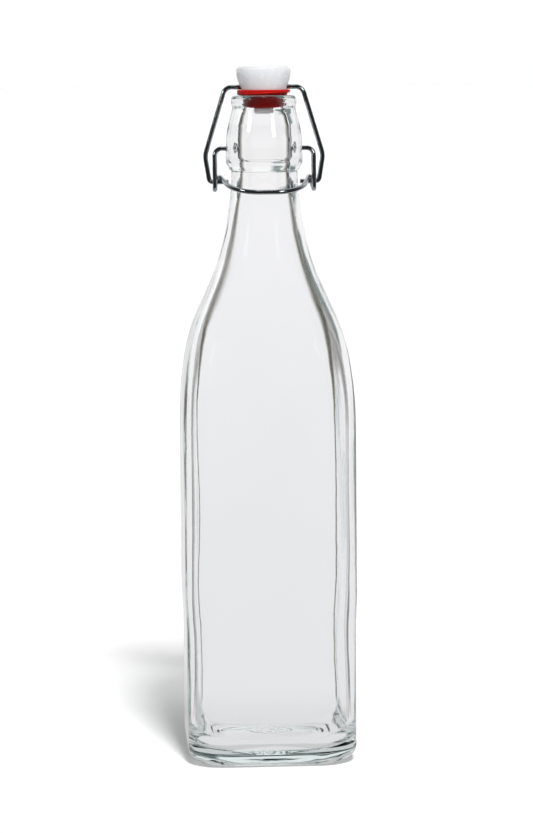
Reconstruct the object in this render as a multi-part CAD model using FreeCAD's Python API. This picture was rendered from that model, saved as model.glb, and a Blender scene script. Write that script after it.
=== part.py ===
import FreeCAD, Part
import math
import os

# One litre swing-top growler: a rounded-square clear glass bottle with a
# barrel neck finish, and a two-wire over-centre closure.
# Frame: +Z up, origin on the resting plane under the neck axis,
# -Y is the side where the lever's bow lies.  Millimetres.

# ---------------------------------------------------------------- dimensions
HEIGHT = 318.0            # resting plane to the stopper's top

# bottle body
BODY_HALF = 39.4          # half width, face to face, above the waist line
FOOT_HALF = 38.8          # half width of the slightly slimmer lower body
BODY_CORNER = 16.0        # corner radius of the square section
WAIST_LOW, WAIST_HIGH = 60.0, 78.0
HEEL_R = 8.0              # heel radius at the resting plane, larger at the corners
BODY_TOP = 150.0          # where the shoulder starts
WALL = 3.6                # body wall
FLOOR_Z = 6.0             # top of the thick glass floor
FLOOR_R = 9.0             # inner radius between floor and wall
PUSH_UP_R, PUSH_UP_H = 27.0, 2.6   # hollow under the base

# shoulder: height, half width, corner radius of each section
SHOULDER = [
    (150.0, 39.40, 16.0), (158.0, 39.36, 16.0), (165.0, 39.10, 16.2),
    (172.0, 38.62, 16.5), (179.0, 37.82, 17.0), (186.0, 36.85, 17.7),
    (193.0, 35.50, 18.5), (200.0, 33.45, 19.4), (207.0, 30.75, 20.1),
    (214.0, 27.75, 20.6), (221.0, 24.85, 20.5), (228.0, 22.25, 19.9),
    (235.0, 20.20, 18.9), (242.0, 18.45, 17.9), (249.0, 17.20, 16.95),
    (256.0, 16.25, 16.20), (260.0, 15.70, 15.65), (264.0, 15.38, 15.33),
    (267.5, 15.30, 15.25), (271.3, 15.30, 15.25),
]
# wall through the shoulder at the same heights
SHOULDER_WALL = [3.6, 3.6, 3.6, 3.6, 3.65, 3.7, 3.75, 3.8, 3.9, 4.0, 4.1, 4.2,
                 4.3, 4.4, 4.5, 4.6, 4.55, 4.33]

# neck and finish
LIP_TOP = 304.8           # sealing face
LIP_R = 15.05
BORE_R = 9.0              # throat just below the lip
MOUTH_R = 10.6            # the mouth flares up to the sealing face
COLLAR_Z = 270.8          # underside of the finish, a small step out from the neck
NECK_IN_R = 11.1
DIMPLE_R, DIMPLE_X = 1.16, 13.9   # blind pivot sockets in the barrel
DIMPLE_MOUTH_R = 1.9

# closure axes, all parallel to X
PIVOT_Z = 280.7           # lever in the dimples
HOOK_Y, HOOK_Z = 1.0, 265.44      # bail in the lever's loops
CROSS_Z = 308.6           # bail through the stopper

WIRE_R = 1.1
LOOP_R = 2.9              # centre-line radius of the lever's loops
LOOP_Z = 264.8            # loop centre; the bail's hook pulls up inside it
ARM_X, BOW_X = 22.65, 20.1
BOW_Y, BOW_Z = -23.4, 261.5
BOW_R = 15.5
PIN_END_X = 14.2
HOOK_END_X = 16.4

# stopper and gasket
STOPPER_R = 12.45
STOPPER_BASE_Z = 306.6
STEM_R = 4.0
STEM_END_R, STEM_END_Z = 4.5, 296.4
CROSS_BORE_R = 1.16
GASKET_R = 12.25
GASKET_LOW_Z = 304.95
GASKET_TIP_Z = 299.1
GASKET_TIP_R = 8.6
GASKET_PLUG_R = 10.2


def v(x, y, z):
    return FreeCAD.Vector(x, y, z)


# ------------------------------------------------------------------ sections
def square_wire(half, corner, z):
    """Closed rounded-square wire at height z."""
    f = half - corner
    s = corner * math.sqrt(0.5)
    edges = []
    for k in range(4):
        a = math.radians(90 * k)
        ca, sa = math.cos(a), math.sin(a)

        def p(x, y):
            return v(x * ca - y * sa, x * sa + y * ca, z)
        edges.append(Part.makeLine(p(half, -f), p(half, f)))
        edges.append(Part.Arc(p(half, f), p(f + s, f + s), p(f, half)).toShape())
    return Part.Wire(edges)


def prism(half, corner, z0, z1):
    face = Part.Face(square_wire(half, corner, z0))
    return face.extrude(v(0, 0, z1 - z0))


def revolved(points):
    """Solid of revolution about Z from a closed (r, z) outline.
    A point may be ('arc', (r, z) mid, (r, z) end)."""
    edges = []
    last = None
    for pt in points:
        if pt[0] == 'arc':
            m, e = pt[1], pt[2]
            edges.append(Part.Arc(v(last[0], 0, last[1]), v(m[0], 0, m[1]),
                                  v(e[0], 0, e[1])).toShape())
            last = e
        else:
            if last is not None:
                edges.append(Part.makeLine(v(last[0], 0, last[1]),
                                           v(pt[0], 0, pt[1])))
            last = pt
    first = points[0]
    if abs(first[0] - last[0]) > 1e-9 or abs(first[1] - last[1]) > 1e-9:
        edges.append(Part.makeLine(v(last[0], 0, last[1]),
                                   v(first[0], 0, first[1])))
    face = Part.Face(Part.Wire(edges))
    return face.revolve(v(0, 0, 0), v(0, 0, 1), 360)


# ---------------------------------------------------------------- bent wires
def bent_tube(points, radii, r):
    """Round wire along straight runs joined by tangent arcs."""
    pts = [v(*p) for p in points]
    runs = []
    start = pts[0]
    for i in range(1, len(pts) - 1):
        a, b, c = pts[i - 1], pts[i], pts[i + 1]
        d1 = (b - a).normalize()
        d2 = (c - b).normalize()
        turn = d1.getAngle(d2)
        t = radii[i - 1] * math.tan(turn / 2)
        s, e = b - d1 * t, b + d2 * t
        n = (d2 - d1).normalize()
        mid = b + n * (radii[i - 1] / math.cos(turn / 2) - radii[i - 1])
        if (s - start).Length > 1e-4:
            runs.append(Part.makeLine(start, s))
        runs.append(Part.Arc(s, mid, e).toShape())
        start = e
    runs.append(Part.makeLine(start, pts[-1]))
    path = Part.Wire(runs)
    d = (pts[1] - pts[0]).normalize()
    ring = Part.Wire(Part.makeCircle(r, pts[0], d))
    tube = path.makePipeShell([ring], True, False)
    return tube, path.Length


def mirrored(half_points, half_radii):
    """Full symmetric list from the +X half, which ends on the X = 0 plane side."""
    left = [(-x, y, z) for (x, y, z) in reversed(half_points)]
    return half_points + left, half_radii + list(reversed(half_radii))


# -------------------------------------------------------------------- bottle
def body_half(z):
    """Half width of the straight body: the foot is a little slimmer."""
    t = min(max((z - WAIST_LOW) / (WAIST_HIGH - WAIST_LOW), 0.0), 1.0)
    t = t * t * (3 - 2 * t)
    return FOOT_HALF + (BODY_HALF - FOOT_HALF) * t


def outer_sections():
    out = []
    for deg in (0, 22, 45, 67, 90):
        t = math.radians(deg)
        inset = HEEL_R * (1 - math.sin(t))
        out.append((HEEL_R * (1 - math.cos(t)), FOOT_HALF - inset,
                    BODY_CORNER + 0.1 * inset))
    for z in (10.0, 20.0, 40.0, 55.0, 60.0, 66.0, 72.0, 78.0, 84.0, 100.0, 125.0, 140.0):
        out.append((z, body_half(z), BODY_CORNER))
    return out + SHOULDER


def inner_sections():
    out = []
    for deg in (0, 22, 45, 67, 90):
        t = math.radians(deg)
        inset = FLOOR_R * (1 - math.sin(t))
        out.append((FLOOR_Z + FLOOR_R * (1 - math.cos(t)), FOOT_HALF - WALL - inset,
                    BODY_CORNER - WALL - 0.2 * inset))
    for z in (18.0, 28.0, 42.0, 55.0, 60.0, 66.0, 72.0, 78.0, 84.0, 100.0, 125.0, 140.0):
        out.append((z, body_half(z) - WALL, BODY_CORNER - WALL))
    for (z, a, r), w in zip(SHOULDER, SHOULDER_WALL):
        out.append((z, a - w, r - w))
    return out


def make_bottle():
    body = Part.makeLoft([square_wire(a, r, z) for z, a, r in outer_sections()],
                         True, False)
    finish = revolved([
        (0, COLLAR_Z), (16.1, COLLAR_Z), (17.5, 274.2), ('arc', (17.86, 275.6), (17.72, 277.4)),
        (17.5, 279.0), (17.45, 284.8), ('arc', (17.0, 288.6), (16.0, 293.2)),
        (15.2, 296.6), ('arc', (14.5, 298.8), (14.7, 300.2)),
        ('arc', (15.02, 301.4), (LIP_R, 302.6)),
        ('arc', (14.6, 304.15), (13.2, LIP_TOP)),
        (MOUTH_R + 0.8, LIP_TOP), (0, LIP_TOP)])
    outer = body.fuse(finish)

    hollow = Part.makeLoft([square_wire(a, r, z) for z, a, r in inner_sections()],
                           True, False)
    inner_neck = revolved([
        (0, 262.5), (NECK_IN_R + 0.2, 262.5), (NECK_IN_R, 275.0), (NECK_IN_R, 292.0),
        (BORE_R + 1.0, 295.6), (BORE_R, 298.6), (MOUTH_R, LIP_TOP - 1.0),
        ('arc', (MOUTH_R + 0.22, LIP_TOP - 0.3), (MOUTH_R + 0.8, LIP_TOP)),
        (MOUTH_R + 0.8, LIP_TOP + 1), (0, LIP_TOP + 1)])
    bottle = outer.cut(hollow.fuse(inner_neck))

    # the resting rim is flat
    flat = Part.makeBox(120, 120, 10, v(-60, -60, -10))
    bottle = bottle.cut(flat)

    # hollow under the base, so the bottle stands on a rim
    push = revolved([(0, -1), (PUSH_UP_R, -1), (PUSH_UP_R, 0),
                     ('arc', (PUSH_UP_R * 0.55, PUSH_UP_H * 0.72), (0, PUSH_UP_H))])
    bottle = bottle.cut(push)

    # two blind sockets with flared mouths for the lever's pins
    for s in (1, -1):
        hole = Part.makeCylinder(DIMPLE_R, 8, v(s * DIMPLE_X, 0, PIVOT_Z), v(s, 0, 0))
        flare = Part.makeCone(DIMPLE_R, DIMPLE_MOUTH_R + 0.9, 2.2,
                              v(s * 16.3, 0, PIVOT_Z), v(s, 0, 0))
        bottle = bottle.cut(hole).cut(flare)
    return bottle.removeSplitter()


# ------------------------------------------------------- stopper and gasket
def make_stopper():
    body = revolved([
        (0, STEM_END_Z), (STEM_END_R - 0.6, STEM_END_Z),
        ('arc', (STEM_END_R - 0.17, STEM_END_Z + 0.17), (STEM_END_R, STEM_END_Z + 0.6)),
        (STEM_END_R, GASKET_TIP_Z - 0.9), (STEM_R, GASKET_TIP_Z - 0.05),
        (STEM_R, STOPPER_BASE_Z), (10.45, STOPPER_BASE_Z),
        (10.65, 307.6), (11.3, 310.2), (12.0, 312.8),
        ('arc', (12.33, 314.2), (STOPPER_R, 315.6)), (STOPPER_R - 0.03, 316.6),
        ('arc', (STOPPER_R - 0.5, 317.6), (STOPPER_R - 1.45, HEIGHT)), (0, HEIGHT)])
    bore = Part.makeCylinder(CROSS_BORE_R, 40, v(-20, 0, CROSS_Z), v(1, 0, 0))
    return body.cut(bore)


def make_gasket():
    return revolved([
        (STEM_R + 0.02, GASKET_TIP_Z), (GASKET_TIP_R - 0.6, GASKET_TIP_Z),
        ('arc', (GASKET_TIP_R - 0.2, GASKET_TIP_Z + 0.15), (GASKET_TIP_R, GASKET_TIP_Z + 0.6)),
        (GASKET_PLUG_R, GASKET_LOW_Z - 0.5), (GASKET_PLUG_R + 0.3, GASKET_LOW_Z),
        (11.7, GASKET_LOW_Z), (GASKET_R, GASKET_LOW_Z + 0.5), (GASKET_R, 305.9),
        (GASKET_R - 0.3, 306.15), (GASKET_R, 306.4), (GASKET_R, 306.9),
        ('arc', (GASKET_R - 0.15, 307.2), (GASKET_R - 0.5, 307.35)),
        (10.95, 307.35), (10.8, STOPPER_BASE_Z), (STEM_R + 0.02, STOPPER_BASE_Z)])


# --------------------------------------------------------------------- wires
def make_lever():
    y0, y1 = HOOK_Y - LOOP_R, HOOK_Y + LOOP_R
    z0, z1 = LOOP_Z - LOOP_R, LOOP_Z + LOOP_R
    half = [(PIN_END_X, 0, PIVOT_Z), (ARM_X, 0, PIVOT_Z), (ARM_X, y0, z0),
            (ARM_X + 0.15, y1, z0), (BOW_X + 1.3, y1, z1),
            (BOW_X, -3.0, z1), (BOW_X - 4.7, BOW_Y, BOW_Z)]
    radii = [3.2, LOOP_R - 0.3, LOOP_R - 0.02, LOOP_R - 0.1, 5.0, BOW_R]
    pts, rad = mirrored(half, radii)
    return bent_tube(pts, rad, WIRE_R)


def make_bail():
    def y(z):
        return HOOK_Y * (CROSS_Z - z) / (CROSS_Z - HOOK_Z)
    half = [(HOOK_END_X, HOOK_Y, HOOK_Z), (25.1, HOOK_Y, HOOK_Z),
            (26.0, y(271.2), 271.2), (27.05, y(277.6), 277.6),
            (17.65, 0, CROSS_Z)]
    radii = [1.9, 7.0, 10.0, 4.0]
    pts, rad = mirrored(half, radii)
    return bent_tube(pts, rad, WIRE_R)


def main():
    os.makedirs("parts", exist_ok=True)
    nodes = {"bottle": make_bottle(), "stopper": make_stopper(),
             "gasket": make_gasket()}
    for name, maker in (("lever_wire", make_lever), ("bail_wire", make_bail)):
        tube, length = maker()
        nodes[name] = tube
        print(name, "length", round(length, 2), "volume ratio",
              round(tube.Volume / (length * math.pi * WIRE_R ** 2), 4))
    for name, shape in nodes.items():
        if shape.ShapeType == "Compound" and len(shape.Solids) == 1:
            shape = shape.Solids[0]
        b = shape.BoundBox
        print(name, shape.ShapeType, "valid", shape.isValid(), "solids",
              len(shape.Solids), "volume cm3", round(shape.Volume / 1000, 3),
              "x", round(b.XMin, 2), round(b.XMax, 2), "y", round(b.YMin, 2),
              round(b.YMax, 2), "z", round(b.ZMin, 2), round(b.ZMax, 2))
        shape.exportStep("parts/" + name + ".step")
    names = list(nodes)
    for i, a in enumerate(names):
        for b in names[i + 1:]:
            common = nodes[a].common(nodes[b]).Volume
            gap = nodes[a].distToShape(nodes[b])[0]
            print(a, b, "overlap", round(common, 4), "gap", round(gap, 3))


main()
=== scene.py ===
import bpy
import math
import numpy as np
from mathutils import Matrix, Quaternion, Vector


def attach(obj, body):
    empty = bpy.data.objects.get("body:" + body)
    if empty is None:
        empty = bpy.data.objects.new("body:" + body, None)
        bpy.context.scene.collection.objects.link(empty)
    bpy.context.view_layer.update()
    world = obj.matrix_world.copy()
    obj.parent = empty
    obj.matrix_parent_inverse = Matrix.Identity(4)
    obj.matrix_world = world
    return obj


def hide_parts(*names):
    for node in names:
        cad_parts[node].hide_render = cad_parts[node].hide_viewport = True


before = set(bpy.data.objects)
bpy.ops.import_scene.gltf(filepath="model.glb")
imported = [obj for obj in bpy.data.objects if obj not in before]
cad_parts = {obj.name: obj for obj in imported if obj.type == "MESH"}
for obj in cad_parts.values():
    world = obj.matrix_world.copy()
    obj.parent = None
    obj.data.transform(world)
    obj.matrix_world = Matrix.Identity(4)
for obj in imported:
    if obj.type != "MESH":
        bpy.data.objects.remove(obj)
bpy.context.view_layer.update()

MM = 0.001
scene = bpy.context.scene

# ---------------------------------------------------------------- dimensions (mm)
BODY_HALF, FOOT_HALF, CORNER = 39.38, 38.75, 16.0
WAIST = (60.0, 78.0)
HEEL = 8.0
FLOOR_Z, FLOOR_R = 5.9, 15.0
PIVOT_Z, HOOK_Y, HOOK_Z, CROSS_Z = 280.7, 1.0, 265.44, 308.6
WIRE_R = 1.1


# ---------------------------------------------------------------- small helpers
def pchip(xs, ys, x):
    """Monotone cubic through (xs, ys), no overshoot."""
    xs, ys, x = np.asarray(xs, float), np.asarray(ys, float), np.asarray(x, float)
    h, d = np.diff(xs), np.diff(ys) / np.diff(xs)
    m = np.zeros(len(xs))
    for i in range(1, len(xs) - 1):
        if d[i - 1] * d[i] > 0:
            w1, w2 = 2 * h[i] + h[i - 1], h[i] + 2 * h[i - 1]
            m[i] = (w1 + w2) / (w1 / d[i - 1] + w2 / d[i])
    m[0], m[-1] = d[0], d[-1]
    i = np.clip(np.searchsorted(xs, x) - 1, 0, len(h) - 1)
    t = (x - xs[i]) / h[i]
    return ((2 * t ** 3 - 3 * t ** 2 + 1) * ys[i] + (t ** 3 - 2 * t ** 2 + t) * h[i] * m[i]
            + (-2 * t ** 3 + 3 * t ** 2) * ys[i + 1] + (t ** 3 - t ** 2) * h[i] * m[i + 1])


def mesh_object(name, verts, faces, smooth=True):
    me = bpy.data.meshes.new(name)
    me.from_pydata([tuple(v) for v in verts], [], faces)
    me.validate()
    me.update()
    if smooth:
        me.polygons.foreach_set("use_smooth", [True] * len(me.polygons))
    ob = bpy.data.objects.new(name, me)
    scene.collection.objects.link(ob)
    return ob


def skin(name, rings, close_start=True, close_end=True):
    """Closed surface through a list of rings, each (n, 3) in mm.
    The first and last may shrink to one point."""
    n = len(rings[0])
    verts, faces, base = [], [], []
    for ring in rings:
        base.append(len(verts))
        verts.extend((np.asarray(ring) * MM).tolist())
    for k in range(len(rings) - 1):
        a, b = base[k], base[k + 1]
        for i in range(n):
            j = (i + 1) % n
            faces.append((a + i, a + j, b + j, b + i))
    if close_start:
        c = len(verts)
        verts.append((np.mean(rings[0], axis=0) * MM).tolist())
        for i in range(n):
            faces.append((c, base[0] + (i + 1) % n, base[0] + i))
    if close_end:
        c = len(verts)
        verts.append((np.mean(rings[-1], axis=0) * MM).tolist())
        for i in range(n):
            faces.append((c, base[-1] + i, base[-1] + (i + 1) % n))
    return mesh_object(name, verts, faces)


def revolve(name, outline, n=160, closed=False):
    """Surface of revolution about Z from (r, z) points in mm; ends on the axis,
    or a closed outline for a ring."""
    t = np.linspace(0, 2 * math.pi, n, endpoint=False)
    c, s = np.cos(t), np.sin(t)
    if closed:
        rings = [np.c_[r * c, r * s, np.full(n, z)] for r, z in outline]
        verts = np.vstack(rings) * MM
        m = len(rings)
        faces = []
        for k in range(m):
            a, b = k * n, ((k + 1) % m) * n
            for i in range(n):
                j = (i + 1) % n
                faces.append((a + i, a + j, b + j, b + i))
        return mesh_object(name, verts.tolist(), faces)
    rings = [np.c_[r * c, r * s, np.full(n, z)] for r, z in outline[1:-1]]
    ob = skin(name, rings)
    v = ob.data.vertices
    v[len(rings) * n].co = Vector((0, 0, outline[0][1] * MM))
    v[len(rings) * n + 1].co = Vector((0, 0, outline[-1][1] * MM))
    return ob


def rounded(points, radii, step=12):
    """2-D outline with rounded corners: points (r, z), a radius for each."""
    out = []
    m = len(points)
    for i, (p, rad) in enumerate(zip(points, radii)):
        p = np.array(p, float)
        if rad <= 0 or i in (0, m - 1):
            out.append(tuple(p))
            continue
        a, b = np.array(points[i - 1], float), np.array(points[i + 1], float)
        u, v = (a - p) / np.linalg.norm(a - p), (b - p) / np.linalg.norm(b - p)
        ang = math.acos(max(-1, min(1, float(u @ v))))
        if ang > math.pi - 1e-3:
            out.append(tuple(p))
            continue
        d = rad / math.tan(ang / 2)
        d = min(d, 0.49 * np.linalg.norm(a - p), 0.49 * np.linalg.norm(b - p))
        rr = d * math.tan(ang / 2)
        bis = (u + v) / np.linalg.norm(u + v)
        c = p + bis * rr / math.sin(ang / 2)
        s, e = p + u * d, p + v * d
        a0, a1 = math.atan2(*(s - c)[::-1]), math.atan2(*(e - c)[::-1])
        da = (a1 - a0 + math.pi) % (2 * math.pi) - math.pi
        k = max(2, int(abs(da) / math.radians(step)) + 1)
        for q in range(k + 1):
            w = a0 + da * q / k
            out.append((c[0] + rr * math.cos(w), c[1] + rr * math.sin(w)))
    return out


def refine(points, longest):
    """Adds points so that no span of the outline is longer than `longest` mm."""
    out = [points[0]]
    for a, b in zip(points[:-1], points[1:]):
        d = math.hypot(b[0] - a[0], b[1] - a[1])
        k = max(1, int(math.ceil(d / longest)))
        for q in range(1, k + 1):
            out.append((a[0] + (b[0] - a[0]) * q / k, a[1] + (b[1] - a[1]) * q / k))
    return out


# ---------------------------------------------------------------- materials
def new_material(name):
    m = bpy.data.materials.new(name)
    m.use_nodes = True
    nt = m.node_tree
    nt.nodes.clear()
    out = nt.nodes.new("ShaderNodeOutputMaterial")
    bsdf = nt.nodes.new("ShaderNodeBsdfPrincipled")
    nt.links.new(bsdf.outputs[0], out.inputs["Surface"])
    return m, nt, bsdf, out


def node(nt, kind, **kw):
    n = nt.nodes.new(kind)
    for k, v in kw.items():
        setattr(n, k, v)
    return n


def ramp(nt, fac, stops):
    r = nt.nodes.new("ShaderNodeValToRGB")
    el = r.color_ramp.elements
    while len(el) < len(stops):
        el.new(0.5)
    for e, (p, c) in zip(el, stops):
        e.position = p
        e.color = (*c, 1) if len(c) == 3 else c
    nt.links.new(fac, r.inputs["Fac"])
    return r


def noise(nt, coord, scale, detail=4, rough=0.55):
    n = nt.nodes.new("ShaderNodeTexNoise")
    n.inputs["Scale"].default_value = scale
    n.inputs["Detail"].default_value = detail
    n.inputs["Roughness"].default_value = rough
    nt.links.new(coord, n.inputs["Vector"])
    return n


def bump(nt, height, distance, strength=1.0, normal=None):
    b = nt.nodes.new("ShaderNodeBump")
    b.inputs["Distance"].default_value = distance
    b.inputs["Strength"].default_value = strength
    nt.links.new(height, b.inputs["Height"])
    if normal is not None:
        nt.links.new(normal, b.inputs["Normal"])
    return b


def math_node(nt, op, a, b=None):
    n = node(nt, "ShaderNodeMath", operation=op)
    for i, v in enumerate((a, b)):
        if v is None:
            continue
        if isinstance(v, (int, float)):
            n.inputs[i].default_value = v
        else:
            nt.links.new(v, n.inputs[i])
    return n.outputs[0]


def mixed(nt, fac, a, b):
    m = node(nt, "ShaderNodeMix", data_type="RGBA")
    nt.links.new(fac, m.inputs[0])
    for v, i in ((a, 6), (b, 7)):
        if isinstance(v, tuple):
            m.inputs[i].default_value = (*v, 1)
        else:
            nt.links.new(v, m.inputs[i])
    return m.outputs[2]


def glass_material():
    m, nt, b, out = new_material("clear_glass")
    b.inputs["IOR"].default_value = 1.51
    b.inputs["Transmission Weight"].default_value = 1.0
    tc = node(nt, "ShaderNodeTexCoord")
    # slow colour drift, too faint to see as a pattern
    n1 = noise(nt, tc.outputs["Object"], 14.0, 2)
    r1 = ramp(nt, n1.outputs["Fac"], [(0.3, (0.985, 0.988, 0.990)), (0.7, (1.0, 1.0, 1.0))])
    # painted shade: the inner wall's colour is darkened where it is seen edge on, standing in for the dark edges that
    # refracted dark surroundings give
    lw = node(nt, "ShaderNodeLayerWeight")
    lw.inputs["Blend"].default_value = 0.5
    inner = node(nt, "ShaderNodeAttribute")
    inner.attribute_name = "inner"
    # (1 on the round neck and shoulder, less at the body's corners, 0 elsewhere)
    seen = math_node(nt, "SUBTRACT", lw.outputs["Facing"], math_node(nt, "SUBTRACT", 1.0, inner.outputs["Fac"]))
    edge = ramp(nt, seen, [(0.0, (1, 1, 1)), (0.46, (1, 1, 1)), (0.57, (0.20, 0.192, 0.165)),
                           (0.67, (0.03, 0.027, 0.021)), (1.0, (0.018, 0.017, 0.013))])
    shade = node(nt, "ShaderNodeMix", data_type="RGBA", blend_type="MULTIPLY")
    shade.inputs[0].default_value = 1.0
    nt.links.new(r1.outputs["Color"], shade.inputs[6])
    nt.links.new(edge.outputs["Color"], shade.inputs[7])
    zz = node(nt, "ShaderNodeSeparateXYZ")
    nt.links.new(tc.outputs["Object"], zz.inputs[0])
    # the finish mirrors its surroundings more than the neck and shoulder do
    spec = ramp(nt, math_node(nt, "DIVIDE", math_node(nt, "SUBTRACT", zz.outputs["Z"], 0.25), 0.02),
                [(0.45, (0.10, 0.10, 0.10)), (0.75, (1, 1, 1))])
    # and the throat's inside, against the rubber, hardly at all
    throat = math_node(nt, "MULTIPLY", inner.outputs["Fac"], math_node(nt, "GREATER_THAN", zz.outputs["Z"], 0.2975))
    calm = mixed(nt, throat, spec.outputs["Color"], (0.08, 0.08, 0.08))
    nt.links.new(calm, b.inputs["Specular Tint"])
    pale = ramp(nt, math_node(nt, "DIVIDE", math_node(nt, "SUBTRACT", zz.outputs["Z"], 0.25), 0.02),
                [(0.45, (0.958, 0.966, 0.966)), (0.75, (1, 1, 1))])
    last = node(nt, "ShaderNodeMix", data_type="RGBA", blend_type="MULTIPLY")
    last.inputs[0].default_value = 1.0
    nt.links.new(shade.outputs[2], last.inputs[6])
    nt.links.new(pale.outputs["Color"], last.inputs[7])
    nt.links.new(last.outputs[2], b.inputs["Base Color"])
    # handling marks: barely less polished in patches
    n2 = noise(nt, tc.outputs["Object"], 60.0, 5)
    r2 = ramp(nt, n2.outputs["Fac"], [(0.45, (0.0, 0.0, 0.0)), (0.8, (0.018, 0.018, 0.018))])
    nt.links.new(r2.outputs["Color"], b.inputs["Roughness"])
    # blown glass is never quite flat
    n3 = noise(nt, tc.outputs["Object"], 45.0, 2)
    b1 = bump(nt, n3.outputs["Fac"], 0.00012)
    n4 = noise(nt, tc.outputs["Object"], 260.0, 2)
    b2 = bump(nt, n4.outputs["Fac"], 0.000006, normal=b1.outputs["Normal"])
    nt.links.new(b2.outputs["Normal"], b.inputs["Normal"])
    vol = node(nt, "ShaderNodeVolumeAbsorption")
    vol.inputs["Color"].default_value = (0.671, 0.752, 0.742, 1)
    vol.inputs["Density"].default_value = 14.0
    nt.links.new(vol.outputs[0], out.inputs["Volume"])
    # light still reaches the floor through the bottle
    lp = node(nt, "ShaderNodeLightPath")
    tr = node(nt, "ShaderNodeBsdfTransparent")
    geo = node(nt, "ShaderNodeSeparateXYZ")
    nt.links.new(tc.outputs["Object"], geo.inputs[0])
    rs = ramp(nt, geo.outputs["Z"], [(0.0, (0.45,) * 3), (0.05, (0.56,) * 3), (0.14, (0.75,) * 3), (0.20, (0.86,) * 3)])
    nt.links.new(rs.outputs["Color"], tr.inputs["Color"])
    mix = node(nt, "ShaderNodeMixShader")
    nt.links.new(lp.outputs["Is Shadow Ray"], mix.inputs[0])
    nt.links.new(b.outputs[0], mix.inputs[1])
    nt.links.new(tr.outputs[0], mix.inputs[2])
    nt.links.new(mix.outputs[0], out.inputs["Surface"])
    return m


def plastic_material():
    m, nt, b, out = new_material("white_plastic")
    tc = node(nt, "ShaderNodeTexCoord")
    n1 = noise(nt, tc.outputs["Object"], 90.0, 4)
    r1 = ramp(nt, n1.outputs["Fac"], [(0.3, (0.625, 0.63, 0.65)), (0.7, (0.665, 0.67, 0.69))])
    nt.links.new(r1.outputs["Color"], b.inputs["Base Color"])
    n2 = noise(nt, tc.outputs["Object"], 420.0, 5)
    r2 = ramp(nt, n2.outputs["Fac"], [(0.3, (0.20,) * 3), (0.8, (0.32,) * 3)])
    nt.links.new(r2.outputs["Color"], b.inputs["Roughness"])
    b.inputs["IOR"].default_value = 1.5
    b.inputs["Subsurface Weight"].default_value = 0.25
    b.inputs["Subsurface Radius"].default_value = (1.0, 0.9, 0.8)
    b.inputs["Subsurface Scale"].default_value = 0.0016
    b.inputs["Coat Weight"].default_value = 0.25
    b.inputs["Coat Roughness"].default_value = 0.08
    n3 = noise(nt, tc.outputs["Object"], 900.0, 3)
    b1 = bump(nt, n3.outputs["Fac"], 0.00002)
    nt.links.new(b1.outputs["Normal"], b.inputs["Normal"])
    return m


def rubber_material():
    m, nt, b, out = new_material("red_rubber")
    tc = node(nt, "ShaderNodeTexCoord")
    n1 = noise(nt, tc.outputs["Object"], 260.0, 5)
    r1 = ramp(nt, n1.outputs["Fac"], [(0.25, (0.36, 0.006, 0.004)), (0.55, (0.46, 0.008, 0.006)),
                                      (0.8, (0.54, 0.016, 0.010))])
    geo = node(nt, "ShaderNodeSeparateXYZ")
    nt.links.new(tc.outputs["Object"], geo.inputs[0])
    # painted shade: the plug below the flange, down in the glass bore, is darkened by height
    low = math_node(nt, "DIVIDE", math_node(nt, "SUBTRACT", geo.outputs["Z"], 0.298), 0.01)
    plug_painted_shade = ramp(nt, low, [(0.12, (1.0, 1.0, 1.0)), (0.24, (0.36, 0.09, 0.09)), (0.62, (0.27, 0.07, 0.07)),
                          (0.70, (1.0, 1.0, 1.0))])
    plug_shaded_colour = node(nt, "ShaderNodeMix", data_type="RGBA", blend_type="MULTIPLY")
    plug_shaded_colour.inputs[0].default_value = 1.0
    nt.links.new(r1.outputs["Color"], plug_shaded_colour.inputs[6])
    nt.links.new(plug_painted_shade.outputs["Color"], plug_shaded_colour.inputs[7])
    nt.links.new(plug_shaded_colour.outputs[2], b.inputs["Base Color"])
    n2 = noise(nt, tc.outputs["Object"], 700.0, 4)
    r2 = ramp(nt, n2.outputs["Fac"], [(0.3, (0.38,) * 3), (0.8, (0.62,) * 3)])
    nt.links.new(r2.outputs["Color"], b.inputs["Roughness"])
    b1 = bump(nt, n2.outputs["Fac"], 0.00006)
    nt.links.new(b1.outputs["Normal"], b.inputs["Normal"])
    b.inputs["Specular IOR Level"].default_value = 0.12
    b.inputs["Subsurface Weight"].default_value = 0.12
    b.inputs["Subsurface Radius"].default_value = (1.0, 0.2, 0.1)
    b.inputs["Subsurface Scale"].default_value = 0.0008
    return m


def wire_material():
    m, nt, b, out = new_material("steel_wire")
    b.inputs["Metallic"].default_value = 1.0
    uv = node(nt, "ShaderNodeUVMap")
    uv.uv_map = "wire"
    mp = node(nt, "ShaderNodeMapping")
    mp.inputs["Scale"].default_value = (0.12, 9.0, 1.0)
    nt.links.new(uv.outputs[0], mp.inputs["Vector"])
    n1 = noise(nt, mp.outputs[0], 8.0, 5)            # drawing lines along the wire
    r1 = ramp(nt, n1.outputs["Fac"], [(0.3, (0.36, 0.385, 0.405)), (0.7, (0.54, 0.57, 0.59))])
    nt.links.new(r1.outputs["Color"], b.inputs["Base Color"])
    tc = node(nt, "ShaderNodeTexCoord")
    n2 = noise(nt, tc.outputs["Object"], 240.0, 5)
    r2 = ramp(nt, n2.outputs["Fac"], [(0.35, (0.06,) * 3), (0.75, (0.15,) * 3)])
    nt.links.new(r2.outputs["Color"], b.inputs["Roughness"])
    b1 = bump(nt, n1.outputs["Fac"], 0.00001)
    b2 = bump(nt, n2.outputs["Fac"], 0.00002, normal=b1.outputs["Normal"])
    nt.links.new(b2.outputs["Normal"], b.inputs["Normal"])
    return m


GLASS, PLASTIC, RUBBER, WIRE = glass_material(), plastic_material(), rubber_material(), wire_material()

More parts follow.
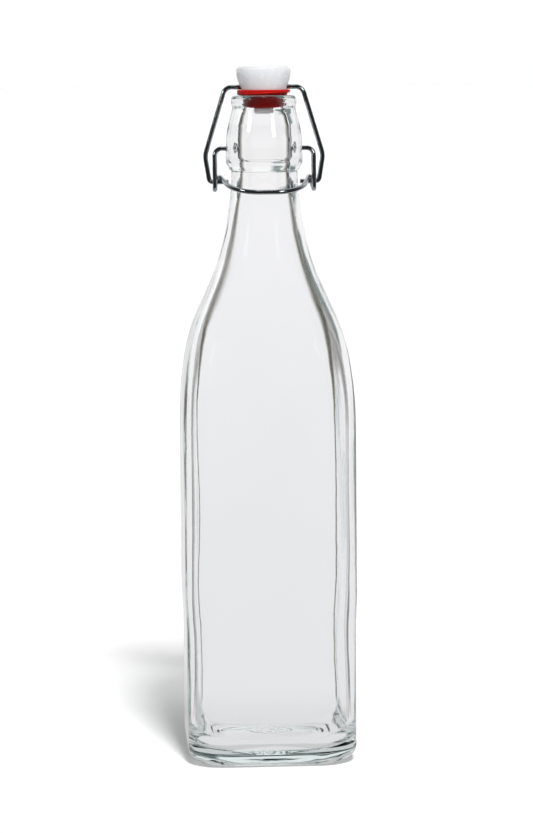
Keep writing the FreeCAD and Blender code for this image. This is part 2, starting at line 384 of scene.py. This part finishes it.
# ---------------------------------------------------------------- the bottle
N = 256
_u = np.linspace(0, 2 * math.pi, N, endpoint=False)
THETA = _u + 0.115 * np.sin(4 * _u)      # closer together at the corners
CT, ST = np.cos(THETA), np.sin(THETA)
_fold = np.abs((THETA + math.pi / 4) % (math.pi / 2) - math.pi / 4)   # 0..45 deg from a face


def square_radius(a, r):
    """Distance from the axis to a rounded square (half width a, corner r) at THETA."""
    f = a - r
    c, s = np.cos(_fold), np.sin(_fold)
    flat = a / c
    k = f * (c + s)
    arc = k + np.sqrt(np.maximum(k * k - 2 * f * f + r * r, 0))
    return np.where(np.tan(_fold) * a <= f, flat, arc)


SHOULDER_Z = [150, 158, 165, 172, 179, 186, 193, 200, 207, 214, 221, 228, 235, 242, 249, 256, 260, 264, 268, 272]
SHOULDER_A = [39.38, 39.33, 39.08, 38.6, 37.8, 36.83, 35.45, 33.42, 30.72, 27.72, 24.82, 22.22, 20.17, 18.42,
              17.18, 16.22, 15.70, 15.38, 15.30, 15.30]
SHOULDER_C = [16.0, 16.0, 16.2, 16.5, 17.0, 17.7, 18.5, 19.4, 20.1, 20.6, 20.5, 19.9, 18.9, 17.9, 16.95, 16.2,
              15.70, 15.38, 15.30, 15.30]
WALL_Z = [0, 20, 60, 110, 150, 172, 193, 214, 235, 249, 256, 264]
WALL_T = [3.5, 3.5, 3.55, 3.65, 3.5, 3.1, 2.9, 2.9, 2.95, 3.05, 3.25, 3.75]


def half_width(z):
    z = np.asarray(z, float)
    t = np.clip((z - WAIST[0]) / (WAIST[1] - WAIST[0]), 0, 1)
    body = FOOT_HALF + (BODY_HALF - FOOT_HALF) * t * t * (3 - 2 * t)
    return np.where(z < 150, body, pchip(SHOULDER_Z, SHOULDER_A, np.maximum(z, 150)))


def corner(z):
    z = np.asarray(z, float)
    return np.where(z < 150, CORNER, pchip(SHOULDER_Z, SHOULDER_C, np.maximum(z, 150)))


def wave(z, amp, seed, long=34.0):
    """Slow ripple of a blown wall, in mm, for one ring at height z."""
    t = THETA + seed
    return amp * (0.50 * np.sin(2 * t + z / long + seed) + 0.34 * np.sin(3 * t - z / (long * 0.62) + 2.1 * seed)
                  + 0.22 * np.sin(5 * t + z / (long * 0.45)) + 0.16 * np.sin(7 * t - z / (long * 0.3) + seed))


def base_relief(x, y):
    """Plain moulded pattern under the base: rings and a wheel of dots."""
    r = np.hypot(x, y)
    h = 0.35 * np.exp(-((r - 9.6) / 0.45) ** 2)
    t = np.arctan2(y, x)
    k = np.round(t / (math.pi / 4)) * (math.pi / 4)
    d = np.hypot(x - 6.0 * np.cos(k), y - 6.0 * np.sin(k))
    h += 0.35 * np.exp(-(d / 0.95) ** 4)
    h += 0.35 * np.exp(-(r / 2.2) ** 4)
    return h


def bottle():
    rings, inside = [], []
    # underside: hollow with a moulded pattern, out to the resting rim
    for r in np.r_[np.arange(0.6, 26.8, 0.7), 27.0]:
        hollow = 2.6 * (1 - (r / 27.0) ** 2)
        x, y = r * CT, r * ST
        edge = 1 / (1 + math.exp((r - 26.0) * 3))
        rings.append(np.c_[x, y, np.maximum(hollow + base_relief(x, y) * 1.7 * edge, 0.0)])
    for q in (0.35, 0.7, 1.0):
        a = 27.0 + (FOOT_HALF - HEEL - 27.0) * q
        c = 27.0 + (CORNER + 0.1 * HEEL - 27.0) * q
        R = square_radius(a, min(a, c))
        rings.append(np.c_[R * CT, R * ST, np.full(N, 0.0)])
    # heel
    for d in np.linspace(3, 90, 20):
        t = math.radians(d)
        inset = HEEL * (1 - math.sin(t))
        R = square_radius(FOOT_HALF - inset, CORNER + 0.1 * inset)
        rings.append(np.c_[R * CT, R * ST, np.full(N, HEEL * (1 - math.cos(t)))])
    # body and shoulder
    for z in np.r_[np.arange(11, 150, 4.0), np.arange(150, 271, 2.0)]:
        a, c = float(half_width(z)), float(corner(z))
        R = square_radius(a, min(c, a))
        R = R - 0.05 - wave(z, 0.05, 0.7) * min(1, max(0, (256 - z) / 30))
        rings.append(np.c_[R * CT, R * ST, np.full(N, z)])
    # finish: collar step, barrel, throat, lip
    outline = rounded([
        (15.25, 269.8), (15.3, 270.75), (16.05, 270.9), (17.7, 274.3), (17.74, 277.6),
        (17.48, 280.6), (17.42, 285.4), (16.9, 289.3), (15.95, 293.3), (15.15, 296.6),
        (14.55, 298.7), (14.62, 300.0), (15.04, 301.2), (15.04, 303.4), (14.1, 304.78), (12.5, 304.8),
        (10.85, 304.75), (9.0, 298.7), (10.1, 295.6), (11.4, 290.6), (11.45, 286)],
        [0, 0.35, 0.4, 0.5, 2.0, 4, 5, 8, 8, 4, 1.2, 0.9, 1.0, 1.5, 1.2, 0.5, 0.9, 2.5, 2.5, 3.0, 0], 9)
    outline = refine(outline, 0.8)[1:]
    first = len(rings)
    bore = [k for k, (r, z) in enumerate(outline) if r < 12.5 and z < 304.0]
    for r, z in outline:
        rr = r - 0.03
        rings.append(np.c_[rr * CT, rr * ST, np.full(N, z)])
    # inside: neck, shoulder, wall
    inside = [0.0] * len(rings)
    at_corner = 0.80 * np.clip((np.degrees(_fold) - 17) / 12, 0, 1)
    for k in bore:
        inside[first + k] = 1.0
    inner = list(np.arange(285.0, 279, -2.0)) + list(np.arange(278, 264, -0.6)) + list(np.arange(262, 150, -2.0)) + list(np.arange(149, 18, -3.0))
    for z in inner:
        if z > 264:
            q = min(max((276.8 - z) / 2.6, 0), 1)
            bulge = 0.05 * min(max((z - 277.5) / 7.0, 0), 1)
            a = c = 11.45 + bulge - 0.7 * q * q * (3 - 2 * q) + 0.5 * min(max((272 - z) / 7.0, 0), 1)
        else:
            w = float(pchip(WALL_Z, WALL_T, z))
            a = float(half_width(z)) - w
            c = min(float(corner(z)) - w, a)
        R = square_radius(a, c)
        fade = min(1.0, max(0.15, (275 - z) / 60))
        R = R + wave(z, 0.42, 1.9) * fade
        rings.append(np.c_[R * CT, R * ST, np.full(N, z)])
        q = min(1.0, max(0.0, (z - 150) / 40.0))
        inside.append(q + (1 - q) * at_corner)
    # inner floor: rounded into the wall, gently domed
    for d in np.linspace(86, 4, 18):
        t = math.radians(d)
        inset = FLOOR_R * (1 - math.sin(t))
        z = FLOOR_Z - 0.3 + FLOOR_R * (1 - math.cos(t))
        w = 3.5
        R = square_radius(FOOT_HALF - w - inset, CORNER - w - 0.2 * inset) + wave(z, 0.42, 1.9) * math.sin(t)
        rings.append(np.c_[R * CT, R * ST, np.full(N, z)])
        inside.append(max(0.0, (d - 50) / 40.0) * at_corner)
    a_end = FOOT_HALF - 3.5 - FLOOR_R
    for q in np.linspace(0.05, 0.985, 34):
        k = 1 - q
        a = a_end * k
        c = a * (1 - k) + (CORNER - 3.5 - 0.2 * FLOOR_R) * k
        R = square_radius(a, min(max(c, 0.05), a))
        z = FLOOR_Z - 0.3 + 1.7 * (1 - k ** 2) + 0.2 * np.sin(3 * THETA + 1.1) * k * (1 - k) * 2
        rings.append(np.c_[R * CT, R * ST, np.full(N, 1.0) * z])
    ob = skin("bottle_glass", rings)
    inside += [0.0] * (len(rings) - len(inside))
    # the inner attribute weights the glass's painted edge shade, and also calms the gloss in the throat
    mark = ob.data.attributes.new("inner", "FLOAT", "POINT")
    flat = np.zeros(len(ob.data.vertices), dtype=np.float32)
    flat[:len(rings) * N] = np.concatenate([np.full(N, 1.0) * w for w in inside])
    mark.data.foreach_set("value", flat)
    # the two blind sockets are pushed into the barrel's wall
    me = ob.data
    co = np.empty(len(me.vertices) * 3)
    me.vertices.foreach_get("co", co)
    co = co.reshape(-1, 3) / MM
    r = np.hypot(co[:, 0], co[:, 1])
    d = np.hypot(co[:, 1], co[:, 2] - PIVOT_Z)
    out = (r > 15.5) & (d < 4.0)
    depth = 3.4 / (1 + np.exp((np.minimum(d, 6.0) - 1.75) * 4.5))
    co[out, 0] -= np.sign(co[out, 0]) * depth[out]
    me.vertices.foreach_set("co", (co * MM).ravel())
    me.update()
    return ob


glass = bottle()
glass.data.materials.append(GLASS)
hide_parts("bottle")
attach(glass, "bottle")

# ---------------------------------------------------------------- stopper
outline = rounded([
    (0, 317.55), (8.2, 317.6), (8.9, 318.0), (11.2, 318.0), (12.38, 316.9), (12.42, 315.4), (12.3, 313.8),
    (11.95, 312.3), (11.25, 309.9), (10.62, 307.9), (10.4, 306.65), (4.0, 306.6), (4.0, 299.0), (4.5, 298.4),
    (4.5, 297.0), (3.9, 296.42), (0, 296.42)],
    [0, 0.6, 0.5, 1.3, 1.2, 2, 3, 5, 5, 2, 0.35, 0.1, 0.1, 0.3, 0.5, 0.4, 0], 8)
stopper = revolve("stopper_head", refine(outline, 0.5), 192)
co = stopper.data.vertices
for v in co:
    x, y, z = (c / MM for c in v.co)
    r = math.hypot(x, y)
    # a recess each side where the bail enters
    d = math.hypot(y, z - CROSS_Z)
    if abs(x) > 6.5 and r > 9.5 and d < 3.2:
        v.co.x -= math.copysign(1.3 / (1 + math.exp((d - 1.6) * 5)), x) * MM
stopper.data.update()
stopper.data.materials.append(PLASTIC)
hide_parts("stopper")
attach(stopper, "stopper")

# ---------------------------------------------------------------- gasket
outline = rounded([
    (4.05, 299.12), (7.9, 299.12), (8.62, 299.7), (9.35, 302.0), (10.15, 304.4), (10.6, 304.97), (11.6, 304.97),
    (12.18, 305.35), (12.22, 305.95), (11.92, 306.2), (12.2, 306.45), (12.2, 307.0), (11.6, 307.33),
    (10.95, 307.33), (10.75, 306.68), (4.05, 306.62)],
    [0.2, 0.5, 0.5, 1, 0.4, 0.3, 0.5, 0.4, 0.3, 0.15, 0.3, 0.4, 0.3, 0.2, 0.1, 0], 12)
gasket = revolve("gasket_ring", refine(outline + [outline[0]], 0.45)[:-1], 224, closed=True)
for v in gasket.data.vertices:
    x, y, z = (c / MM for c in v.co)
    r = math.hypot(x, y)
    if r > 11.0 and z > 304.9:
        t = math.atan2(y, x)
        q = min(max((x + 7.0) / 18.0, 0), 1)
        q = q * q * (3 - 2 * q)            # the ring sits thinner and higher to one side
        low = min(max((307.2 - z) / 2.2, 0), 1)
        v.co.z += (0.95 * q * low + 0.05 * math.sin(3 * t + 0.6) * (1 if 305.3 < z < 307 else 0.3)) * MM
gasket.data.update()
gasket.data.materials.append(RUBBER)
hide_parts("gasket")
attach(gasket, "stopper")


# ---------------------------------------------------------------- wires
def centreline(points, radii, step=0.45):
    """Points along straight runs joined by tangent arcs, in mm."""
    pts = [np.array(p, float) for p in points]
    out = [pts[0]]

    def run_to(p):
        a = out[-1]
        k = max(1, int(np.linalg.norm(p - a) / step))
        for q in range(1, k + 1):
            out.append(a + (p - a) * q / k)
    for i in range(1, len(pts) - 1):
        a, b, c = pts[i - 1], pts[i], pts[i + 1]
        u, v = (a - b) / np.linalg.norm(a - b), (c - b) / np.linalg.norm(c - b)
        ang = math.acos(max(-1, min(1, float(u @ v))))
        turn, rad = math.pi - ang, radii[i - 1]
        d = rad * math.tan(turn / 2)
        s, e = b + u * d, b + v * d
        bis = (u + v) / np.linalg.norm(u + v)
        centre = b + bis * rad / math.cos(turn / 2)
        run_to(s)
        k = max(4, int(rad * turn / step))
        w0, w1 = s - centre, e - centre
        for q in range(1, k + 1):
            t = turn * q / k
            out.append(centre + (math.sin(turn - t) * w0 + math.sin(t) * w1) / math.sin(turn))
    run_to(pts[-1])
    keep = [out[0]]
    for p in out[1:]:
        if np.linalg.norm(p - keep[-1]) > 0.04:
            keep.append(p)
    return np.array(keep)


def tube(name, path, radius, sides=28):
    """Round wire with sheared, slightly rounded ends and a UV map along its length."""
    t = np.gradient(path, axis=0)
    t /= np.linalg.norm(t, axis=1)[:, None]
    ref = np.array([0, 1.0, 0]) if abs(t[0][1]) < 0.9 else np.array([1.0, 0, 0])
    n = np.cross(t[0], ref)
    n /= np.linalg.norm(n)
    frames = []
    for i in range(len(path)):
        if i:
            n = n - t[i] * (n @ t[i])
            n /= np.linalg.norm(n)
        frames.append((n, np.cross(t[i], n)))
    ang = np.linspace(0, 2 * math.pi, sides, endpoint=False)
    length = np.r_[0, np.cumsum(np.linalg.norm(np.diff(path, axis=0), axis=1))]
    rings, along = [], []

    def ring(p, f, r, s):
        rings.append(p + r * (np.cos(ang)[:, None] * f[0] + np.sin(ang)[:, None] * f[1]))
        along.append(s)
    c = 0.22
    for r, d in ((radius * 0.5, 0.0), (radius - c, 0.0), (radius - c * 0.35, c * 0.25), (radius, c)):
        ring(path[0] + t[0] * d, frames[0], r, d)
    for i in range(1, len(path) - 1):
        if c * 1.2 < length[i] < length[-1] - c * 1.2:
            ring(path[i], frames[i], radius, length[i])
    for r, d in ((radius, c), (radius - c * 0.35, c * 0.25), (radius - c, 0.0), (radius * 0.5, 0.0)):
        ring(path[-1] - t[-1] * d, frames[-1], r, length[-1] - d)
    ob = skin(name, rings)
    me = ob.data
    uv = me.uv_layers.new(name="wire")
    m = len(rings)
    for poly in me.polygons:
        cols = [vi % sides for vi in poly.vertices if vi < m * sides]
        wrap = max(cols) - min(cols) > sides / 2 if cols else False
        for li in poly.loop_indices:
            vi = me.loops[li].vertex_index
            if vi >= m * sides:
                uv.data[li].uv = (0, 0)
                continue
            k, j = divmod(vi, sides)
            if wrap and j < sides / 2:
                j += sides
            uv.data[li].uv = (along[k], j / sides)
    return ob


def both_halves(half, radii):
    left = [(-x, y, z) for x, y, z in reversed(half)]
    return half + left, radii + list(reversed(radii))


LOOP_R, LOOP_Z, ARM_X, BOW_X = 2.9, 264.8, 22.65, 20.1
y0, y1, z0, z1 = HOOK_Y - LOOP_R, HOOK_Y + LOOP_R, LOOP_Z - LOOP_R, LOOP_Z + LOOP_R
pts, rad = both_halves(
    [(14.2, 0, PIVOT_Z), (ARM_X, 0, PIVOT_Z), (ARM_X, y0, z0), (ARM_X + 0.15, y1, z0),
     (BOW_X + 1.3, y1, z1), (BOW_X, -3.0, z1), (BOW_X - 4.7, -23.4, 261.5)],
    [3.2, LOOP_R - 0.3, LOOP_R - 0.02, LOOP_R - 0.1, 5.0, 15.5])
lever = tube("lever_wire_bent", centreline(pts, rad), WIRE_R)


def leg_y(z):
    return HOOK_Y * (CROSS_Z - z) / (CROSS_Z - HOOK_Z)


pts, rad = both_halves(
    [(16.4, HOOK_Y, HOOK_Z), (25.1, HOOK_Y, HOOK_Z), (26.0, leg_y(271.2), 271.2),
     (27.05, leg_y(277.6), 277.6), (17.65, 0, CROSS_Z)], [1.9, 7.0, 10.0, 4.0])
bail = tube("bail_wire_bent", centreline(pts, rad), WIRE_R)
for ob, name, body in ((lever, "lever_wire", "lever"), (bail, "bail_wire", "bail")):
    ob.data.materials.append(WIRE)
    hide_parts(name)
    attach(ob, body)

# ---------------------------------------------------------------- floor and light
YAW = math.radians(3.5)


def grey(v):
    return (v, v, v)


def turn_from_front(nt, x, y):
    """0 straight behind the set, 0.5 at its sides, 1 in front of it, by direction."""
    t = math_node(nt, "SUBTRACT", math_node(nt, "ARCTAN2", x, y), YAW)
    return math_node(nt, "DIVIDE", math_node(nt, "ABSOLUTE", t), math.pi)


# what glass shows round the set: a white sweep with dark flags beside it
FLAGS = [(0.0, grey(1.0)), (0.335, grey(1.0)), (0.352, grey(0.05)), (0.402, grey(0.05)), (0.42, grey(0.95)),
         (0.565, grey(0.95)), (0.59, grey(0.2)), (0.66, grey(0.2)), (0.685, grey(0.9)), (1.0, grey(0.9))]
# what polish mirrors: the bright sweep behind, a dark room on the near side
ROOM = [(0.0, grey(1.0)), (0.27, grey(0.9)), (0.36, grey(0.42)), (0.46, grey(0.12)), (0.56, grey(0.05)), (1.0, grey(0.03))]


def floor_material():
    m, nt, b, out = new_material("pale_floor")
    tc = node(nt, "ShaderNodeTexCoord")
    n1 = noise(nt, tc.outputs["Object"], 6.0, 3)
    r1 = ramp(nt, n1.outputs["Fac"], [(0.3, grey(0.925)), (0.7, grey(0.935))])
    nt.links.new(r1.outputs["Color"], b.inputs["Base Color"])
    b.inputs["Roughness"].default_value = 0.9
    b.inputs["Specular IOR Level"].default_value = 0.0
    # painted shade: seen through the glass the floor glows as a sweep, darker under the bottle and brighter further off
    sep = node(nt, "ShaderNodeSeparateXYZ")
    nt.links.new(tc.outputs["Object"], sep.inputs[0])
    x, y = sep.outputs["X"], sep.outputs["Y"]
    r = math_node(nt, "SQRT", math_node(nt, "ADD", math_node(nt, "MULTIPLY", x, x), math_node(nt, "MULTIPLY", y, y)))
    near = ramp(nt, math_node(nt, "DIVIDE", r, 5.0), [
        (0.0, grey(0.80)), (0.012, grey(0.86)), (0.03, grey(0.905)), (0.1, grey(0.925)), (0.35, grey(0.97)), (1.0, grey(1.0))])
    # painted shade: dark flags are painted into that glow by direction, faded out close to the bottle
    turn = turn_from_front(nt, x, y)
    flags = ramp(nt, turn, [(t, grey(c[0] if c[0] > 0.5 else 0.28 + c[0])) for t, c in FLAGS])
    far = ramp(nt, r, [(0.08, grey(0.0)), (0.26, grey(1.0))])
    flags = mixed(nt, far.outputs["Color"], grey(1.0), flags.outputs["Color"])
    mul = node(nt, "ShaderNodeMix", data_type="RGBA", blend_type="MULTIPLY")
    mul.inputs[0].default_value = 1.0
    nt.links.new(near.outputs["Color"], mul.inputs[6])
    nt.links.new(flags, mul.inputs[7])
    shown = mul.outputs[2]
    tint = node(nt, "ShaderNodeMix", data_type="RGBA", blend_type="MULTIPLY")
    tint.inputs[0].default_value = 1.0
    nt.links.new(shown, tint.inputs[6])
    tint.inputs[7].default_value = (1.0, 0.978, 0.992, 1)
    shown = tint.outputs[2]
    em = node(nt, "ShaderNodeEmission")
    nt.links.new(shown, em.inputs["Color"])
    # painted reflection: in polished parts the floor glows with the bright sweep and the dark room, plain grey near the
    # bottle
    room = mixed(nt, far.outputs["Color"], grey(0.75), ramp(nt, turn, ROOM).outputs["Color"])
    em2 = node(nt, "ShaderNodeEmission")
    em2.inputs["Strength"].default_value = 0.8
    nt.links.new(room, em2.inputs["Color"])
    lp = node(nt, "ShaderNodeLightPath")
    m1 = node(nt, "ShaderNodeMixShader")
    nt.links.new(lp.outputs["Is Glossy Ray"], m1.inputs[0])
    nt.links.new(b.outputs[0], m1.inputs[1])
    nt.links.new(em2.outputs[0], m1.inputs[2])
    m2 = node(nt, "ShaderNodeMixShader")
    nt.links.new(lp.outputs["Is Transmission Ray"], m2.inputs[0])
    nt.links.new(m1.outputs[0], m2.inputs[1])
    nt.links.new(em.outputs[0], m2.inputs[2])
    nt.links.new(m2.outputs[0], out.inputs["Surface"])
    return m


S = 60.0
floor = mesh_object("floor", [(-S, -S, 0), (S, -S, 0), (S, S, 0), (-S, S, 0)], [(0, 1, 2, 3)], False)
floor.data.materials.append(floor_material())

world = bpy.data.worlds.new("studio")
scene.world = world
world.use_nodes = True
nt = world.node_tree
nt.nodes.clear()
wout = node(nt, "ShaderNodeOutputWorld")
tc = node(nt, "ShaderNodeTexCoord")
sep = node(nt, "ShaderNodeSeparateXYZ")
nt.links.new(tc.outputs["Generated"], sep.inputs[0])
turn = turn_from_front(nt, sep.outputs["X"], sep.outputs["Y"])
through = ramp(nt, turn, FLAGS).outputs["Color"]
lift = ramp(nt, sep.outputs["Z"], [(0.0, (1.0, 0.978, 0.992)), (0.15, (1.0, 0.98, 0.99)), (0.19, grey(1.10)), (1.0, grey(1.10))])
lifted = node(nt, "ShaderNodeMix", data_type="RGBA", blend_type="MULTIPLY")
lifted.inputs[0].default_value = 1.0
nt.links.new(through, lifted.inputs[6])
nt.links.new(lift.outputs["Color"], lifted.inputs[7])
through = lifted.outputs[2]
# a grey-green flag on the right, above the horizon only
signed = math_node(nt, "SUBTRACT", math_node(nt, "ARCTAN2", sep.outputs["X"], sep.outputs["Y"]), YAW)
flag = ramp(nt, math_node(nt, "ADD", math_node(nt, "DIVIDE", signed, math.pi), 0.1),
            [(0.12, grey(0.0)), (0.145, grey(1.0)), (0.375, grey(1.0)), (0.41, grey(0.0))])
above = ramp(nt, sep.outputs["Z"], [(0.10, grey(0.0)), (0.17, grey(1.0)), (0.62, grey(1.0)), (0.75, grey(0.0))])
fade = math_node(nt, "MULTIPLY", flag.outputs["Color"], above.outputs["Color"])
through = mixed(nt, fade, through, (0.17, 0.225, 0.225))
gloss = ramp(nt, turn, ROOM).outputs["Color"]
lp = node(nt, "ShaderNodeLightPath")
col = mixed(nt, lp.outputs["Is Glossy Ray"], grey(0.27), gloss)
col = mixed(nt, lp.outputs["Is Transmission Ray"], col, through)
col = mixed(nt, lp.outputs["Is Camera Ray"], col, grey(1.0))
bg = node(nt, "ShaderNodeBackground")
nt.links.new(col, bg.inputs["Color"])
nt.links.new(bg.outputs[0], wout.inputs["Surface"])


def area(name, place, aim, size, power, size_y=None):
    d = bpy.data.lights.new(name, "AREA")
    d.energy = power
    d.size = size
    if size_y:
        d.shape = "RECTANGLE"
        d.size_y = size_y
    o = bpy.data.objects.new(name, d)
    scene.collection.objects.link(o)
    o.location = place
    o.rotation_mode = "QUATERNION"
    o.rotation_quaternion = (Vector(aim) - Vector(place)).to_track_quat("-Z", "Y")
    return o


# the key: from above and behind the camera, a little to the right
sun = bpy.data.lights.new("key", "SUN")
sun.energy = 3.6
sun.angle = math.radians(9.0)
key = bpy.data.objects.new("key", sun)
scene.collection.objects.link(key)
KEY_SIDE, KEY_UP = math.radians(12.0), math.radians(50.0)
side = YAW - KEY_SIDE
way = Vector((math.sin(side) * math.cos(KEY_UP), math.cos(side) * math.cos(KEY_UP), -math.sin(KEY_UP)))
key.rotation_mode = "QUATERNION"
key.rotation_quaternion = way.to_track_quat("-Z", "Y")
key.visible_glossy = False
key.visible_transmission = False


def near_camera(side, away, up):
    """A place `side` to the right and `away` towards the camera from the axis, in metres."""
    return (side * math.cos(YAW) - away * math.sin(YAW), -side * math.sin(YAW) - away * math.cos(YAW), up)


def around(turn, away, up):
    """A place at `turn` degrees to the right of the camera, `away` metres from the axis."""
    t = math.radians(turn)
    return near_camera(math.sin(t) * away, math.cos(t) * away, up)


# soft boxes that show only as reflections
for name, place, aim, size, size_y, power in (
        ("box_left", around(-50, 0.9, 0.62), (0, 0, 0.29), 0.20, 0.24, 1.3),
        ("box_right", around(31, 0.9, 0.62), (0, 0, 0.29), 0.18, 0.24, 1.2),
        ("box_top", (0.0, -0.25, 1.3), (0, 0, 0.25), 0.16, 0.30, 0.35)):
    o = area(name, place, aim, size, power, size_y)
    o.visible_diffuse = False
    o.visible_transmission = False

# ---------------------------------------------------------------- camera
D, HEIGHT_C, PITCH, ROLL = 1.45, 0.318, math.radians(6.33), math.radians(0.52)
cam_data = bpy.data.cameras.new("camera")
cam_data.sensor_width = 36.0
cam_data.lens = 3158.4 * 36.0 / 833.0
cam_data.clip_start, cam_data.clip_end = 0.05, 50
cam = bpy.data.objects.new("camera", cam_data)
scene.collection.objects.link(cam)
cam.location = (-D * math.sin(YAW), -D * math.cos(YAW), HEIGHT_C)
look = Vector((math.sin(YAW) * math.cos(PITCH), math.cos(YAW) * math.cos(PITCH), -math.sin(PITCH)))
cam.rotation_mode = "QUATERNION"
cam.rotation_quaternion = look.to_track_quat("-Z", "Y") @ Quaternion((0, 0, 1), -ROLL)
scene.camera = cam

scene.view_settings.view_transform = "Standard"
scene.view_settings.look = "None"
scene.cycles.max_bounces = 40
scene.cycles.transmission_bounces = 32
scene.cycles.glossy_bounces = 28
scene.cycles.transparent_max_bounces = 16
scene.cycles.caustics_refractive = True
scene.cycles.caustics_reflective = False
